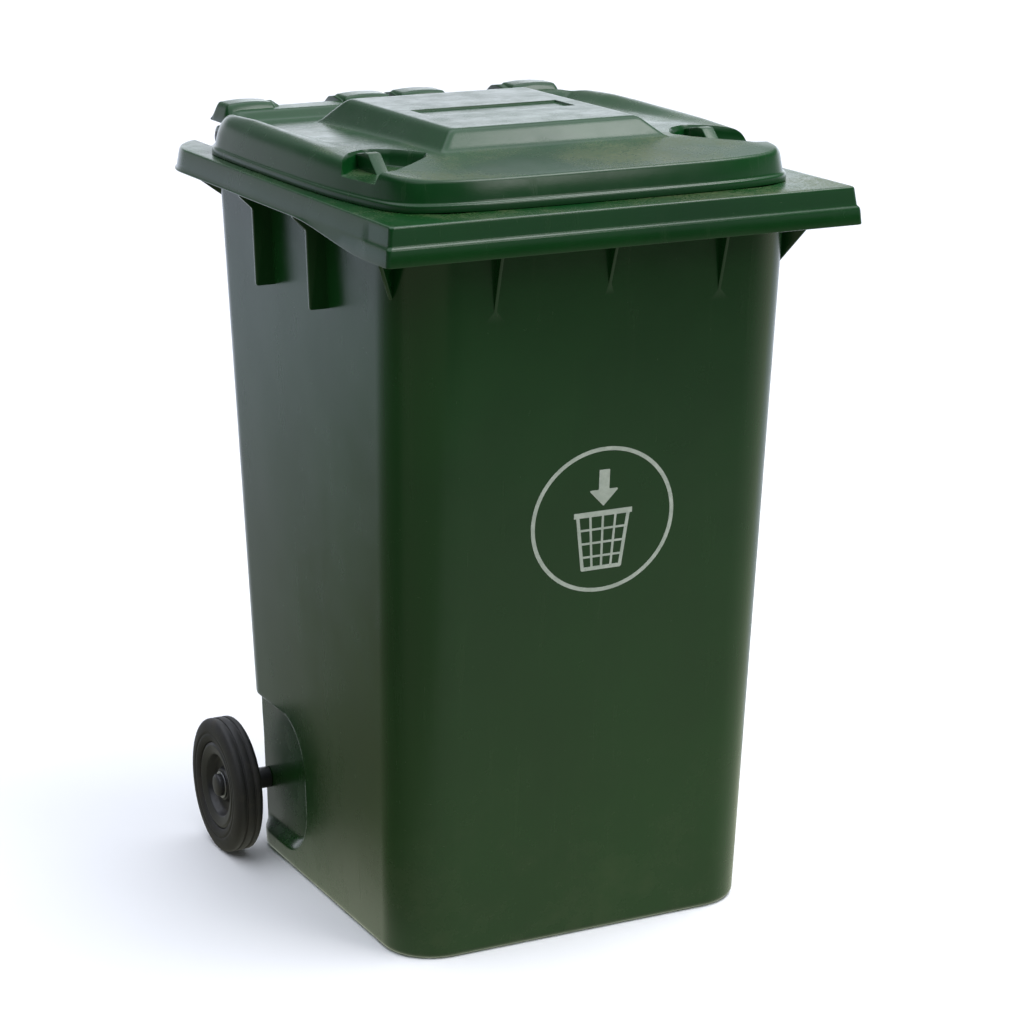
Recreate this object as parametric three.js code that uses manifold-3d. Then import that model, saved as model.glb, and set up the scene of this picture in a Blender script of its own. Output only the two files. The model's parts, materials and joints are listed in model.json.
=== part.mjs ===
// Two-wheeled litter bin, about 240 litres, moulded plastic.
// Units millimetres. X across (symmetry plane X = 0), Y front (-) to rear (+), Z up, ground at Z = 0.
import * as THREE from 'three';
import { mergeVertices } from 'three/addons/utils/BufferGeometryUtils.js';
import Module from 'manifold-3d';

const wasm = await Module();
wasm.setup();
const { Manifold, Mesh } = wasm;

// ---------- driving dimensions ----------
const Y_MID = 369.35;         // plan mid-depth: the origin lies here, all Y below are measured from the rim's front edge
const RIM_HALF = 300;       // half width of the collar at its top edge
const RIM_REAR = 745;       // rear edge of the collar
const RIM_R_FRONT = 5;
const RIM_R_REAR = 108;
const FLARE = 7.3;          // how far the skirt leans out at its lowest edge
const Z_LEDGE = 931;        // flat ledge the lid rests on
const Z_STEP = 908;         // step between the two front bands
const Z_SKIRT_FRONT = 886;
const Z_SKIRT_SIDE = 903;
const SKIRT_T = 5;
const WALL_T = 5;
const FLOOR_T = 6;
const Z_TUB = 886;          // height at which the upper tub section below is given
const TUB_BOT = { xh: 242.6, y0: 115.4, y1: 607.5, rf: 66.7, rr: 55 };
const TUB_TOP = { xh: 263.2, y0: 46, y1: 651, rf: 76, rr: 50 };
const HINGE_Y = 730, HINGE_Z = 930;
const ROD_R = 6, ROD_BORE = 6.6, KNUCKLE_R = 15, EAR_R = 16;
const WHEEL_Y = 585, WHEEL_Z = 90, WHEEL_X = 288.5, WHEEL_R = 89.6, WHEEL_W = 38, RIM_SEAT_R = 58;
const AXLE_R = 10, AXLE_HALF = 301;
const POCKET_X = 229;       // floor of the wheel recess
const LID_Z0 = 931.35;      // underside of the lid's edge, just clear of the ledge
const LID_T = 4;

// ---------- helpers ----------
function toManifold(geo) {
  let g = geo.index ? geo.clone() : geo.clone();
  g.deleteAttribute('normal'); g.deleteAttribute('uv');
  g = mergeVertices(g, 1e-4);
  const p = g.attributes.position.array, idx = g.index.array;
  return new Manifold(new Mesh({ numProp: 3, vertProperties: new Float32Array(p), triVerts: new Uint32Array(idx) }));
}
function fromManifold(m) {
  const r = m.getMesh();
  const n = r.numProp, vp = r.vertProperties, pos = new Float32Array(vp.length / n * 3);
  for (let i = 0; i < vp.length / n; i++) { pos[3 * i] = vp[n * i]; pos[3 * i + 1] = vp[n * i + 1]; pos[3 * i + 2] = vp[n * i + 2]; }
  const g = new THREE.BufferGeometry();
  g.setAttribute('position', new THREE.BufferAttribute(pos, 3));
  g.setIndex(new THREE.BufferAttribute(new Uint32Array(r.triVerts), 1));
  return g;
}
// solid from a stack of closed rings with equal point counts; first and last rings are capped flat
function loft(rings) {
  const n = rings[0].length, pos = [], idx = [];
  rings.forEach(r => r.forEach(p => pos.push(p[0], p[1], p[2])));
  const ring = k => k * n;
  for (let k = 0; k + 1 < rings.length; k++) for (let i = 0; i < n; i++) {
    const j = (i + 1) % n, a = ring(k) + i, b = ring(k) + j, c = ring(k + 1) + j, d = ring(k + 1) + i;
    idx.push(a, b, c, a, c, d);
  }
  const cap = (k, up) => {
    const c = [0, 0, 0]; rings[k].forEach(p => { c[0] += p[0] / n; c[1] += p[1] / n; c[2] += p[2] / n; });
    const ci = pos.length / 3; pos.push(...c);
    for (let i = 0; i < n; i++) { const j = (i + 1) % n; if (up) idx.push(ci, ring(k) + i, ring(k) + j); else idx.push(ci, ring(k) + j, ring(k) + i); }
  };
  cap(0, false); cap(rings.length - 1, true);
  const g = new THREE.BufferGeometry();
  g.setAttribute('position', new THREE.Float32BufferAttribute(pos, 3)); g.setIndex(idx);
  return toManifold(g);
}
// counter-clockwise rounded rectangle with side points at fixed Y
const SIDE_Y = [200, 250], SIDE_Y_RIM = [86, 240];
function outline(s, nf = 5, nr = 5) {
  const out = [], arc = (cx, cy, r, a0, n) => { for (let i = 0; i <= n; i++) { const a = a0 + Math.PI / 2 * i / n; out.push([cx + r * Math.cos(a), cy + r * Math.sin(a)]); } };
  arc(-s.xh + s.rf, s.y0 + s.rf, s.rf, Math.PI, nf);
  arc(s.xh - s.rf, s.y0 + s.rf, s.rf, 1.5 * Math.PI, nf);
  const side = s.rf < 30 ? SIDE_Y_RIM : SIDE_Y;
  side.forEach(y => out.push([s.xh, y]));
  arc(s.xh - s.rr, s.y1 - s.rr, s.rr, 0, nr);
  arc(-s.xh + s.rr, s.y1 - s.rr, s.rr, 0.5 * Math.PI, nr);
  [...side].reverse().forEach(y => out.push([-s.xh, y]));
  return out;
}
const grow = (s, d) => ({ xh: s.xh + d, y0: s.y0 - d, y1: s.y1 + d, rf: s.rf < 30 ? s.rf : s.rf + d, rr: Math.max(1.5, s.rr + d) });
const lift = (o, z) => o.map(p => [p[0], p[1], typeof z === 'function' ? z(p[0], p[1]) : z]);
const lerp = (a, b, t) => a + (b - a) * t;
function tub(z) { const t = z / Z_TUB, o = {}; for (const k of Object.keys(TUB_TOP)) o[k] = lerp(TUB_BOT[k], TUB_TOP[k], t); return o; }
const skirtZ = (x, y) => y < 86 ? Z_SKIRT_FRONT : y < 240 ? lerp(Z_SKIRT_FRONT, Z_SKIRT_SIDE, (y - 86) / 154) : Z_SKIRT_SIDE;
// prism of a (Y,Z) polygon between two X values
function prismX(poly, x0, x1) {
  const sh = new THREE.Shape(poly.map(p => new THREE.Vector2(p[0], p[1])));
  const g = new THREE.ExtrudeGeometry(sh, { depth: x1 - x0, bevelEnabled: false });
  g.applyMatrix4(new THREE.Matrix4().set(0, 0, 1, x0, 1, 0, 0, 0, 0, 1, 0, 0, 0, 0, 0, 1));
  return toManifold(g);
}
function boxM(x0, x1, y0, y1, z0, z1) {
  const g = new THREE.BoxGeometry(x1 - x0, y1 - y0, z1 - z0); g.translate((x0 + x1) / 2, (y0 + y1) / 2, (z0 + z1) / 2);
  return toManifold(g);
}
// round bar along X
function barX(r, x0, x1, y, z, n = 24) {
  const g = new THREE.CylinderGeometry(r, r, x1 - x0, n); g.rotateZ(Math.PI / 2); g.translate((x0 + x1) / 2, y, z);
  return toManifold(g);
}
// body of revolution about an X-parallel axis; profile [radius, x], closed or ending on the axis
function spinX(profile, y, z, n, side) {
  const g = new THREE.LatheGeometry(profile.map(p => new THREE.Vector2(p[0], p[1])), n);
  g.rotateZ(-Math.PI / 2); if (side < 0) g.rotateY(Math.PI);
  g.translate(0, y, z);
  let m = toManifold(g);
  return m;
}
// solid from equal-length open profiles at rising Y, closed below along a flat underside
function loftY(rows) {
  const n = rows[0].length, pos = [], idx = [];
  rows.forEach(r => r.forEach(p => pos.push(p[0], p[1], p[2])));
  const k = rows.length;
  for (let j = 0; j + 1 < k; j++) for (let i = 0; i < n; i++) {
    const i2 = (i + 1) % n, a = j * n + i, b = j * n + i2, c = (j + 1) * n + i2, d = (j + 1) * n + i;
    idx.push(a, b, c, a, c, d);
  }
  for (let i = 1; i + 1 < n; i++) { idx.push(0, i + 1, i); const o = (k - 1) * n; idx.push(o, o + i, o + i + 1); }
  const g = new THREE.BufferGeometry();
  g.setAttribute('position', new THREE.Float32BufferAttribute(pos, 3)); g.setIndex(idx);
  const m = toManifold(g);
  return m;
}

// ---------- tub with collar ----------
const rim = { xh: RIM_HALF, y0: 0, y1: RIM_REAR, rf: RIM_R_FRONT, rr: RIM_R_REAR };
const NF = 6, NR = 7;
const O = s => outline(s, NF, NR);
const frontZone = y => y < 60;
const stepRing = (a, b) => { const A = O(grow(rim, a)), B = O(grow(rim, b)); return A.map((p, i) => frontZone(p[1]) ? B[i] : p); };
const tubU = tub(Z_LEDGE - 6);
let outer = loft([
  lift(O(grow(tub(0), -8)), 0), lift(O(grow(tub(3), -2.5)), 3), lift(O(tub(10)), 10), lift(O(tub(Z_TUB)), Z_TUB), lift(O(tubU), Z_LEDGE - 6),
  lift(O(grow(rim, -SKIRT_T - 0.5)), Z_LEDGE - 6), lift(O(grow(rim, FLARE - SKIRT_T)), (x, y) => skirtZ(x, y)),
  lift(O(grow(rim, FLARE)), (x, y) => skirtZ(x, y)),
  lift(stepRing(4.6, 5.6), (x, y) => frontZone(y) ? Z_STEP - 2 : Z_STEP - 1), lift(stepRing(4.2, 2.8), (x, y) => frontZone(y) ? Z_STEP + 1 : Z_STEP + 1.5),
  lift(O(grow(rim, 0.4)), Z_LEDGE - 2.5), lift(O(grow(rim, -2)), Z_LEDGE),
]);
// the collar is open behind the tub, between the two cheeks
outer = outer.subtract(boxM(-256, 256, 661, 770, 800, 940));

const ear = [[640, 931], [716.5, 931]];
for (let i = 0; i <= 9; i++) { const a = Math.PI * (0.93 - 1.43 * i / 9); ear.push([HINGE_Y + EAR_R * Math.cos(a), HINGE_Z + EAR_R * Math.sin(a)]); }
ear.push([722, 914.5], [684, 897], [640, 872]);
const earPoly = ear.reverse();
for (const [a, b] of [[-4, 4], [77, 88], [150, 161], [207, 218], [-88, -77], [-161, -150], [-218, -207]]) outer = outer.add(prismX(earPoly, a, b));
for (const [a, b] of [[87, 151], [-151, -87]]) outer = outer.add(barX(KNUCKLE_R, a, b, HINGE_Y, HINGE_Z, 24));

// upright ribs under the collar at the sides, gussets at the corners, small ribs at the front
for (const s of [-1, 1]) {
  for (const y of [442, 272]) {
    const g = [[250, 788], [284, 788], [286.5, 884], [303, 900], [303.5, 903], [298.5, 928], [250, 928]].map(p => [s * p[0], p[1]]);
    const sh = new THREE.Shape(g.map(p => new THREE.Vector2(p[0], p[1])));
    const e = new THREE.ExtrudeGeometry(sh, { depth: 6, bevelEnabled: false });
    e.rotateX(Math.PI / 2); e.translate(0, y + 6, 0);
    outer = outer.add(toManifold(e));
  }
  const gusset = (x, y, dx, dy, zTip, reach) => {
    const sh = new THREE.Shape([[-12, zTip - 8], [0, zTip], [reach, Z_SKIRT_FRONT + 4], [reach, 928], [-12, 928]].map(p => new THREE.Vector2(p[0], p[1])));
    const e = new THREE.ExtrudeGeometry(sh, { depth: 5, bevelEnabled: false });
    e.translate(0, 0, -2.5); e.rotateX(Math.PI / 2); e.rotateZ(Math.atan2(dy, dx)); e.translate(x, y, 0);
    return toManifold(e);
  };
  outer = outer.add(gusset(s * 257, 98, s * 0.66, -0.75, 829, 50));
  outer = outer.add(gusset(s * 246, 633, s * 0.9, 0.436, 866, 34));
}
for (const [x, z] of [[-147, 812], [0, 832], [147, 812]]) outer = outer.add(prismX([[60, z - 12], [tub(z).y0, z], [30, 886], [24, 928], [60, 928]], x - 2, x + 2));

// cavity, kept clear of the wheel recesses and of the axle channel
let cavity = loft([lift(O(grow(tub(FLOOR_T), -WALL_T - 6)), FLOOR_T), lift(O(grow(tub(14), -WALL_T)), 14), lift(O(grow(tub(Z_TUB), -WALL_T)), Z_TUB), lift(O(grow(tub(950), -WALL_T)), 950)]);
const recess = d => {
  const pts = [[720, 212 + d], [488, 212 + d]];
  for (let i = 1; i <= 5; i++) { const a = Math.PI / 2 + Math.PI / 2 * i / 5; pts.push([488 + (68 + d) * Math.cos(a), 144 + (68 + d) * Math.sin(a)]); }
  for (let i = 0; i <= 4; i++) { const a = Math.PI + Math.PI / 2 * i / 4; pts.push([492 + (72 + d) * Math.cos(a), 100 + (72 + d) * Math.sin(a)]); }
  pts.push([720, 28 - d]);
  return pts;
};
for (const s of [-1, 1]) {
  const a = s < 0 ? -300 : POCKET_X - WALL_T, b = s < 0 ? -POCKET_X + WALL_T : 300;
  cavity = cavity.subtract(prismX(recess(WALL_T), a, b));
}
cavity = cavity.subtract(boxM(-195, 195, 546, 700, 0, 124));
cavity = cavity.subtract(barX(17, -240, 240, WHEEL_Y, WHEEL_Z, 20));
outer = outer.subtract(cavity);
for (const s of [-1, 1]) outer = outer.subtract(prismX(recess(0), s < 0 ? -320 : POCKET_X, s < 0 ? -POCKET_X : 320));
outer = outer.subtract(boxM(-190, 190, 552, 700, -5, 118));
outer = outer.subtract(barX(AXLE_R + 0.6, -330, 330, WHEEL_Y, WHEEL_Z, 20));
outer = outer.subtract(barX(ROD_BORE, -330, 330, HINGE_Y, HINGE_Z, 20));
for (const s of [-1, 1]) outer = outer.subtract(barX(11.5, s < 0 ? -320 : 219, s < 0 ? -219 : 320, HINGE_Y, HINGE_Z, 20));
const tubBody = outer;

// ---------- lid ----------
const clamp = (v, a, b) => Math.min(b, Math.max(a, v));
const table = (t, v) => { if (v <= t[0][0]) return t[0][1]; for (let i = 1; i < t.length; i++) if (v <= t[i][0]) return lerp(t[i - 1][1], t[i][1], (v - t[i - 1][0]) / (t[i][0] - t[i - 1][0])); return t[t.length - 1][1]; };
const CREST = [[42, 966], [60, 969], [120, 971], [220, 975], [300, 978.5], [400, 980.5], [520, 982], [600, 979], [660, 976], [695, 972]];
const BASIN = [[42, 966], [60, 967], [185, 977], [292, 976], [400, 973], [520, 969], [600, 965], [700, 965]];
const PLAT_X = 125, PLAT_FOOT = 150, PLAT_Y0 = 213, PLAT_Y0_FOOT = 186, PLAT_Y1 = 520, PLAT_Y1_FOOT = 560, PLAT_Z = 1000;
const LABEL = { x: 99, y0: 330, y1: 384, d: 2.5 };
function lidTop(x, y) {
  const ax = Math.abs(x);
  const basin = table(BASIN, y);
  let z = basin;
  const bead = clamp((ax - 226) / 22, 0, 1);                       // bead along the sides
  z = lerp(z, table(CREST, y), bead);
  if (y > 612) z = lerp(basin, 977, clamp((y - 612) / 14, 0, 1));  // raised band at the rear
  if (y > 676) z = lerp(977, 970, clamp((y - 676) / 16, 0, 1));
  const px = clamp((PLAT_FOOT - ax) / (PLAT_FOOT - PLAT_X), 0, 1);
  const py = Math.min(clamp((y - PLAT_Y0_FOOT) / (PLAT_Y0 - PLAT_Y0_FOOT), 0, 1), clamp((PLAT_Y1_FOOT - y) / (PLAT_Y1_FOOT - PLAT_Y1), 0, 1));
  z = lerp(z, PLAT_Z, Math.min(px, py));
  if (ax <= LABEL.x && y >= LABEL.y0 && y <= LABEL.y1) z = PLAT_Z - LABEL.d;
  return z;
}
function grid(xs, ys, f, zb) {
  const nx = xs.length, ny = ys.length, pos = [], idx = [];
  for (let j = 0; j < ny; j++) for (let i = 0; i < nx; i++) pos.push(xs[i], ys[j], f(xs[i], ys[j]));
  for (let j = 0; j < ny; j++) for (let i = 0; i < nx; i++) pos.push(xs[i], ys[j], zb);
  const T = (i, j) => j * nx + i, B = (i, j) => nx * ny + j * nx + i;
  for (let j = 0; j + 1 < ny; j++) for (let i = 0; i + 1 < nx; i++) {
    if ((i + 0.5 < nx / 2)) idx.push(T(i, j), T(i + 1, j), T(i + 1, j + 1), T(i, j), T(i + 1, j + 1), T(i, j + 1));
    else idx.push(T(i, j), T(i + 1, j), T(i, j + 1), T(i + 1, j), T(i + 1, j + 1), T(i, j + 1));
    idx.push(B(i, j), B(i + 1, j + 1), B(i + 1, j), B(i, j), B(i, j + 1), B(i + 1, j + 1));
  }
  const wall = (a, b, ta, tb) => idx.push(a, b, tb, a, tb, ta);
  for (let i = 0; i + 1 < nx; i++) { wall(B(i, 0), B(i + 1, 0), T(i, 0), T(i + 1, 0)); wall(B(i + 1, ny - 1), B(i, ny - 1), T(i + 1, ny - 1), T(i, ny - 1)); }
  for (let j = 0; j + 1 < ny; j++) { wall(B(nx - 1, j), B(nx - 1, j + 1), T(nx - 1, j), T(nx - 1, j + 1)); wall(B(0, j + 1), B(0, j), T(0, j + 1), T(0, j)); }
  const g = new THREE.BufferGeometry(); g.setAttribute('position', new THREE.Float32BufferAttribute(pos, 3)); g.setIndex(idx);
  return toManifold(g);
}
const HALF = [[0, 42], [100, 42.5], [170, 46], [212, 54], [241, 66], [258, 88], [267, 118], [273, 155], [279, 200], [283, 260], [285, 330], [285, 540], [281, 590], [267, 622], [246, 652], [216, 676], [170, 689], [100, 692], [0, 692]];
const lidRing = (dz, zz) => {
  const right = HALF.slice(0, -1), left = HALF.slice(1).reverse().map(p => [-p[0], p[1]]);
  const pts = [...right, ...left], n = pts.length;
  return pts.map((p, i) => {
    const f = clamp((190 - p[1]) / 90, 0, 1), d = typeof dz === 'number' ? dz : lerp(dz[0], dz[1], f), z = zz;
    const a = pts[(i + n - 1) % n], b = pts[(i + 1) % n], tx = b[0] - a[0], ty = b[1] - a[1], l = Math.hypot(tx, ty);
    return [p[0] - d * ty / l, p[1] + d * tx / l, z];
  });
};
// distance steps of the lid's leaning wall: [inset, z]
// and the inset at the sides and at the front, where the wall is steeper
const WALLP = [[[0, 0], LID_Z0], [[1, 1], 940], [[4, 4], 941], [[8, 6.5], 958], [[11.5, 9], 965], [[17, 15], 974], [[26, 24], 980], [[34, 32], 1015]];
const more = (w, t) => [w[0] + t, w[1] + t];
const XS = [0, 60, 99, 100, 125, 150, 188, 226, 237, 248, 262, 292];
const xs = [...XS.slice(1).reverse().map(v => -v), ...XS];
const ys = [36, 60, 120, 186, 213, 292, 329, 330, 384, 385, 450, 520, 560, 600, 612, 626, 650, 676, 692, 700];
let lid = grid(xs, ys, lidTop, LID_Z0 - 5).intersect(loft(WALLP.map(w => lidRing(w[0], w[1]))));
let under = grid(xs, ys, (x, y) => lidTop(x, y) - LID_T, LID_Z0 - 30).intersect(loft([lidRing(LID_T, LID_Z0 - 20), ...WALLP.map(w => lidRing(more(w[0], LID_T), w[1]))]));
// hinge arms over the rear edge
const armPoly = [[628, 957], [640, 972], [656, 979], [680, 982], [700, 979], [718, 968], [732, 957], [741, 946]];
const humpTop = [[0, 985.5], [20, 984.6], [33, 981.5], [37, 976], [38, 960]];   // [offset along X from the hump's middle, height]
for (let i = 0; i <= 10; i++) { const a = 0.35 - (Math.PI + 0.5) * i / 10; armPoly.push([HINGE_Y + KNUCKLE_R * Math.cos(a), HINGE_Z + KNUCKLE_R * Math.sin(a)]); }
armPoly.push([709, 946], [700, 956], [684, 962], [655, 962]);
// grip scoops at the two front corners
const scoopPlan = [[300, 186], [268, 208], [244, 240], [214, 262], [190, 246], [174, 220], [166, 198], [178, 176], [205, 150], [234, 126], [262, 122], [300, 150]];
const prismZ = (poly, z0, z1) => {
  const sh = new THREE.Shape(poly.map(p => new THREE.Vector2(p[0], p[1])));
  const g = new THREE.ExtrudeGeometry(sh, { depth: z1 - z0, bevelEnabled: false }); g.translate(0, 0, z0);
  return toManifold(g);
};
for (const s of [-1, 1]) {
  const plan = scoopPlan.map(p => [s * p[0], p[1]]); if (s < 0) plan.reverse();
  const big = scoopPlan.map(p => { const c = [225, 190], l = Math.hypot(p[0] - c[0], p[1] - c[1]); return [s * (c[0] + (p[0] - c[0]) * (1 + 4 / l)), c[1] + (p[1] - c[1]) * (1 + 4 / l)]; }); if (s < 0) big.reverse();
  lid = lid.subtract(prismZ(plan, 957, 1020));
  under = under.subtract(prismZ(big, 953, 1020));
}
lid = lid.subtract(under);
for (const s of [-1, 1]) {
  for (const [a, b] of [[5, 75.5], [162.5, 205.5]]) lid = lid.add(prismX(armPoly, s < 0 ? -b : a, s < 0 ? -a : b));
  for (const xc of [40, 204]) {
    const prof = [...[...humpTop].reverse().map(p => [-p[0], p[1]]), ...humpTop.slice(1)].map(p => [s * xc + p[0], p[1]]);
    const at = (y, k) => prof.map(p => [p[0], y, 960 + (p[1] - 960) * k]);
    lid = lid.add(loftY([at(632, 0.25), at(646, 0.8), at(660, 0.95), at(676, 1), at(686, 0.9), at(693, 0.45)]));
  }
  lid = lid.add(prismX([[188, 955], [192, 957.5], [216, 977.5], [226, 977.5], [262, 972], [262, 955]], s < 0 ? -231 : 214, s < 0 ? -214 : 231));
}
lid = lid.subtract(barX(ROD_BORE + 0.2, -330, 330, HINGE_Y, HINGE_Z, 20));

// ---------- running gear ----------
// profiles are [radius, x] for the right-hand wheel; x counts outwards
const seg = 40;
const X = WHEEL_X, hw = WHEEL_W / 2;
const tyreProfile = [[58.4, X - 15], [62, X - 17.5], [72, X - 19], [82, X - 18], [87.5, X - 15.5], [WHEEL_R, X - 12], [WHEEL_R, X - 7.5], [87.8, X - 6.8], [87.8, X - 5], [WHEEL_R, X - 4.3], [WHEEL_R, X + 4.3],
  [87.8, X + 5], [87.8, X + 6.8], [WHEEL_R, X + 7.5], [WHEEL_R, X + 12], [87.5, X + 15.5], [82, X + 18], [72, X + 19], [62, X + 17.5], [58.4, X + 15], [58.4, X - 15]];
const rimProfile = [[10.6, X - 19], [21, X - 19], [24, X - 6], [40, X - 4], [50, X - 13], [58, X - 13.5], [58, X + 14.5], [54, X + 16.5], [42, X + 13], [38, X + 3], [24, X + 1.5], [21, X + 7.4], [10.6, X + 7.4], [10.6, X - 19]];
const wheelParts = {};
for (const s of [-1, 1]) {
  const side = s < 0 ? 'left' : 'right', at = [WHEEL_Y, WHEEL_Z];
  wheelParts[`tyre_${side}`] = spinX(tyreProfile, ...at, seg, s);
  wheelParts[`wheel_centre_${side}`] = spinX(rimProfile, ...at, seg, s);
  wheelParts[`axle_sleeve_${side}`] = spinX([[10.5, 229.5], [14.2, 229.5], [14.2, 266.6], [10.5, 266.6], [10.5, 229.5]], ...at, 24, s);
  wheelParts[`inner_washer_${side}`] = spinX([[10.4, 267], [18, 267], [18, 269], [10.4, 269], [10.4, 267]], ...at, 24, s);
  wheelParts[`outer_washer_${side}`] = spinX([[10.4, 296.3], [18, 296.3], [18, 298], [10.4, 298], [10.4, 296.3]], ...at, 24, s);
  wheelParts[`axle_end_cap_${side}`] = spinX([[10.35, 298.4], [15, 298.4], [15, 303], [12.5, 305.2], [0, 306], [0, 301.5], [10.35, 301.5], [10.35, 298.4]], ...at, 24, s);
}
const axle = barX(AXLE_R, -AXLE_HALF, AXLE_HALF, WHEEL_Y, WHEEL_Z, 24);
const rods = {};
for (const s of [-1, 1]) rods[`hinge_rod_${s < 0 ? 'left' : 'right'}`] = spinX([[0, 0.6], [ROD_R, 0.6], [ROD_R, 218.4], [9, 218.4], [9, 220.2], [7.5, 221.6], [0, 221.6]], HINGE_Y, HINGE_Z, 20, s);

// ---------- assembly ----------
const group = new THREE.Group();
group.name = 'litter_bin';
const mats = {
  green: { color: 0x1d4a26, roughness: 0.35, metalness: 0 }, rubber: { color: 0x2b2b2a, roughness: 0.8, metalness: 0 },
  black: { color: 0x232426, roughness: 0.5, metalness: 0 }, steel: { color: 0x9a9c9e, roughness: 0.4, metalness: 0.9 },
};
function put(name, m, mat) {
  const g = fromManifold(m); g.translate(0, -Y_MID, 0); g.computeVertexNormals();
  const mesh = new THREE.Mesh(g, new THREE.MeshStandardMaterial(mats[mat])); mesh.name = name; group.add(mesh);
}
put('tub', tubBody, 'green');
put('lid', lid, 'green');
for (const [k, v] of Object.entries(rods)) put(k, v, 'black');
put('axle', axle, 'steel');
for (const [k, v] of Object.entries(wheelParts)) put(k, v, k.startsWith('tyre') ? 'rubber' : k.includes('washer') ? 'steel' : 'black');

export default group;
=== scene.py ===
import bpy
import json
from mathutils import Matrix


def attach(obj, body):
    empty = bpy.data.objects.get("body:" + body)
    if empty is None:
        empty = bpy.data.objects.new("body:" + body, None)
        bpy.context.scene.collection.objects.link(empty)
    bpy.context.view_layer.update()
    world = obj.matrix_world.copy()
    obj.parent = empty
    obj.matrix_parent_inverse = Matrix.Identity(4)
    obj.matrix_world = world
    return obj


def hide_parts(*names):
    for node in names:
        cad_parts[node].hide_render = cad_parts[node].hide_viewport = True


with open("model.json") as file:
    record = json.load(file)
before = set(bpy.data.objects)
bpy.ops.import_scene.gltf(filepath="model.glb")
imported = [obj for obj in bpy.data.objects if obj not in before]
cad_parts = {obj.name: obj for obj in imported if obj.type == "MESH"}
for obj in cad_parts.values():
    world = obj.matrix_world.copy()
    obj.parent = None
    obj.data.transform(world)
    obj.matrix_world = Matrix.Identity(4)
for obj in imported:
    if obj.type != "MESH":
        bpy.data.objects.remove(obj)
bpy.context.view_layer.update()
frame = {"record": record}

import bpy, bmesh, math, json
import numpy as np
from mathutils import Vector, Matrix

# All shapes are written in millimetres, X across, Y from the collar's front edge rearwards, Z up from the ground;
# put() turns them into metres in the frame's axes.
Y_MID = 369.35
RIM = dict(xh=300.0, y0=0.0, y1=745.0, rf=5.0, rr=108.0)
FLARE = 7.3
Z_LEDGE, Z_SKIRT_FRONT, Z_SKIRT_SIDE = 931.0, 886.0, 903.0
TUB_BOT = dict(xh=242.6, y0=115.4, y1=607.5, rf=66.7, rr=55.0)
TUB_TOP = dict(xh=263.2, y0=46.0, y1=651.0, rf=76.0, rr=50.0)
HINGE_Y, HINGE_Z = 730.0, 930.0
WHEEL_X, WHEEL_Y, WHEEL_Z = 288.5, 585.0, 90.0


# ------------------------------------------------------------------ mesh helpers
def put(name, verts, faces, mm=True):
    v = np.asarray(verts, float)
    if mm:
        v = (v - np.array([0, Y_MID, 0])) / 1000.0
    me = bpy.data.meshes.new(name)
    me.from_pydata([tuple(p) for p in v], [], [tuple(f) for f in faces])
    bm = bmesh.new(); bm.from_mesh(me)
    bmesh.ops.recalc_face_normals(bm, faces=bm.faces)
    bm.to_mesh(me); bm.free()
    o = bpy.data.objects.new(name, me)
    bpy.context.scene.collection.objects.link(o)
    return o


def grid_faces(nr, n, base=0, wrap=True):
    k = np.arange(nr - 1)[:, None]; i = np.arange(n if wrap else n - 1)[None, :]
    j = (i + 1) % n
    f = np.stack([base + k * n + i, base + k * n + j, base + (k + 1) * n + j, base + (k + 1) * n + i], -1)
    return f.reshape(-1, 4).tolist()


def loft(name, rings, shrink=True):
    """Closed solid from equal-length rings (list of (N,3) arrays); the two ends are closed by shrinking rings."""
    rings = [np.asarray(r, float) for r in rings]
    n = len(rings[0])

    def closing(r):
        c = r.mean(0); out = []
        for t in (0.8, 0.55, 0.3, 0.12):
            out.append(c + (r - c) * t)
        return out, c
    a, ca = closing(rings[0]); b, cb = closing(rings[-1])
    allr = a[::-1] + rings + b
    v = np.concatenate(allr); f = grid_faces(len(allr), n)
    ia, ib = len(v), len(v) + 1
    v = np.concatenate([v, [ca], [cb]])
    last = (len(allr) - 1) * n
    for i in range(n):
        j = (i + 1) % n
        f.append([ia, j, i]); f.append([ib, last + i, last + j])
    return put(name, v, f)


def poly_offset(p, d):
    """Mitred inward offset of a counter-clockwise polygon."""
    p = np.asarray(p, float); a = np.roll(p, 1, 0); b = np.roll(p, -1, 0)
    def nrm(q): return np.stack([-q[:, 1], q[:, 0]], 1) / np.maximum(np.hypot(q[:, 0], q[:, 1]), 1e-9)[:, None]
    n1, n2 = nrm(p - a), nrm(b - p)
    m = n1 + n2; k = 1 + (n1 * n2).sum(1)
    return p + m / np.maximum(k, 0.35)[:, None] * d


def area2(p):
    p = np.asarray(p, float); q = np.roll(p, -1, 0)
    return float((p[:, 0] * q[:, 1] - q[:, 0] * p[:, 1]).sum())


def poly_round(p, r, n=4):
    """Rounds every corner of a polygon with radius r where the sides allow it; r may be one number or one per corner."""
    p = [np.array(q[:2], float) for q in p]; out = []
    N = len(p)
    for i in range(N):
        rr = r[i] if isinstance(r, (list, tuple)) else r
        a, c, b = p[i - 1], p[i], p[(i + 1) % N]
        u, v = a - c, b - c; lu, lv = np.hypot(*u), np.hypot(*v); u /= lu; v /= lv
        ang = math.acos(max(-1, min(1, float(u @ v))))
        if rr <= 0 or ang > math.radians(172):
            out.append(c); continue
        t = min(rr / math.tan(ang / 2), lu * 0.45, lv * 0.45); re = t * math.tan(ang / 2)
        s, e = c + u * t, c + v * t
        w = (u + v); w /= np.hypot(*w); o = c + w * (re / math.sin(ang / 2))
        a0 = math.atan2(*(s - o)[::-1]); a1 = math.atan2(*(e - o)[::-1])
        da = (a1 - a0 + math.pi) % (2 * math.pi) - math.pi
        for k in range(n + 1):
            th = a0 + da * k / n
            out.append(o + re * np.array([math.cos(th), math.sin(th)]))
    return [tuple(q) for q in out]


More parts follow.
